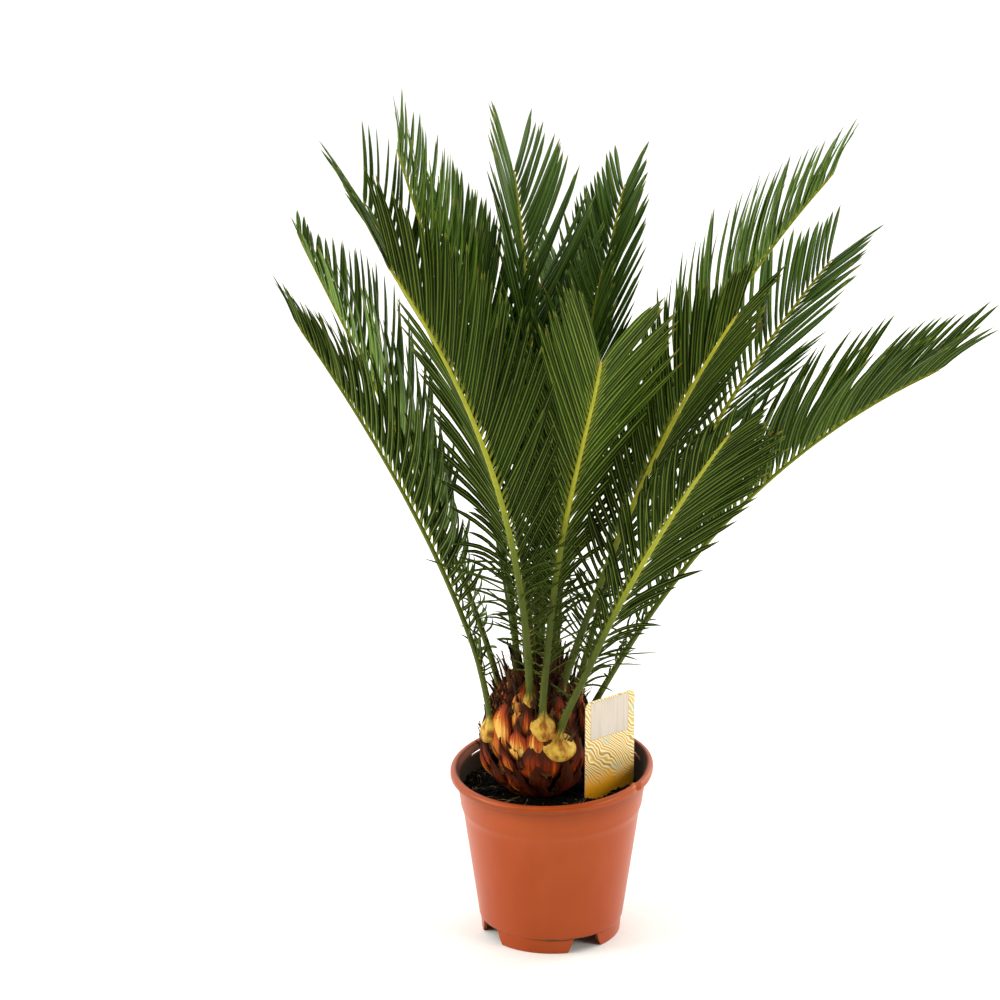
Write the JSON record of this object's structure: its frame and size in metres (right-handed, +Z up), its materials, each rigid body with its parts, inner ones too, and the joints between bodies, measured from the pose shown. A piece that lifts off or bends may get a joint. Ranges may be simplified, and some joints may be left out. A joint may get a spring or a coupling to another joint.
{
  "type": "potted sago palm",
  "caption": "Young sago palm with a scaly swollen stem and a spreading crown of stiff feather fronds, in a round tapered nursery pot with a plant label.",
  "frame": {"origin": "centre of the whole plant's bounding box seen from above, on the surface that the pot stands on", "axes": "+Z up along the pot's axis, -Y the front of the plant, +X its right side seen from the front"},
  "size_m": [0.497, 0.5084, 0.6273],
  "materials": {
    "pot_plastic": "satin",
    "peat": "matte",
    "stem_husk": "matte",
    "card": "satin",
    "leaf": "satin"
  },
  "bodies": {
    "root": {"pot": "pot_plastic", "soil": "peat", "stem": "stem_husk", "plant_label": "card", "frond_01": "leaf", "frond_02": "leaf", "frond_03": "leaf", "frond_04": "leaf", "frond_05": "leaf", "frond_06": "leaf", "frond_07": "leaf", "frond_08": "leaf", "frond_09": "leaf", "frond_10": "leaf", "frond_11": "leaf", "frond_12": "leaf", "frond_13": "leaf", "frond_14": "leaf", "frond_15": "leaf", "frond_16": "leaf"}
  },
  "joints": []
}
